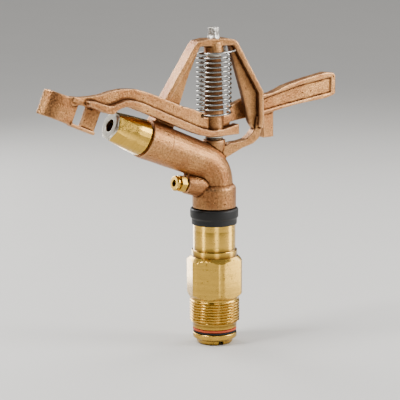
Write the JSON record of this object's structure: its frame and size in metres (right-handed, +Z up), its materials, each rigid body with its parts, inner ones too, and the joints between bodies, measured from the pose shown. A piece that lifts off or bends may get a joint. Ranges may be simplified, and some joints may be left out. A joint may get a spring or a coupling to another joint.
{
  "type": "impact sprinkler",
  "caption": "Full-circle impact sprinkler head with a spring-returned drive arm, range and spreader nozzles and a threaded male inlet with a hexagon.",
  "frame": {"origin": "on the axis the head turns on, at the lowest face of the inlet", "axes": "+Z up along the turning axis; the barrel lies in the XZ plane and throws towards -X, 22.5 degrees up; +X runs from the spoon to the counterweight"},
  "size_m": [0.1853, 0.0288, 0.1674],
  "materials": {
    "cast_bronze": "sand cast, tumbled, satin",
    "turned_brass": "machined, bright",
    "stainless_steel": "bright drawn",
    "black_plastic": "moulded, satin",
    "black_rubber": "matte",
    "red_fibre": "matte",
    "white_ptfe": "waxy",
    "natural_acetal": "moulded, satin"
  },
  "bodies": {
    "inlet": {"bearing_sleeve": "turned_brass", "spring_seat_lower": "stainless_steel"},
    "washers": {"washer_rubber": "black_rubber", "washer_fibre": "red_fibre", "washer_ptfe": "white_ptfe"},
    "head": {"bearing_nipple": "turned_brass", "spring_seat_upper": "stainless_steel", "hood_seal": "black_rubber", "bearing_spring": "stainless_steel", "protective_hood": "black_plastic", "sprinkler_body": "cast_bronze", "range_nozzle": "turned_brass", "spreader_nozzle": "turned_brass", "stream_straightener": "natural_acetal", "fulcrum_pin": "stainless_steel", "spring_anchor_pin": "stainless_steel"},
    "arm": {"drive_arm": "cast_bronze", "arm_bushing_lower": "natural_acetal", "arm_bushing_upper": "natural_acetal", "arm_thrust_washer": "stainless_steel", "arm_spring": "stainless_steel"}
  },
  "joints": [
    {"name": "bearing_lift", "type": "slide", "parent": "inlet", "child": "washers", "axis": [0, 0, 1], "range_m": [-0.0015, 0], "stiffness_N_per_m": 2500, "springref_m": 0.004, "deforming": ["bearing_spring"]},
    {"name": "head_turn", "type": "hinge", "parent": "washers", "child": "head", "pos_m": [0, 0, 0.0725], "axis": [0, 0, 1], "continuous": true},
    {"name": "arm_swing", "type": "hinge", "parent": "head", "child": "arm", "pos_m": [0, 0, 0.1307], "axis": [0, 0, 1], "range_deg": [0, 138], "stiffness_Nm_per_rad": 0.03, "springref_deg": -28.65, "deforming": ["arm_spring"]}
  ]
}
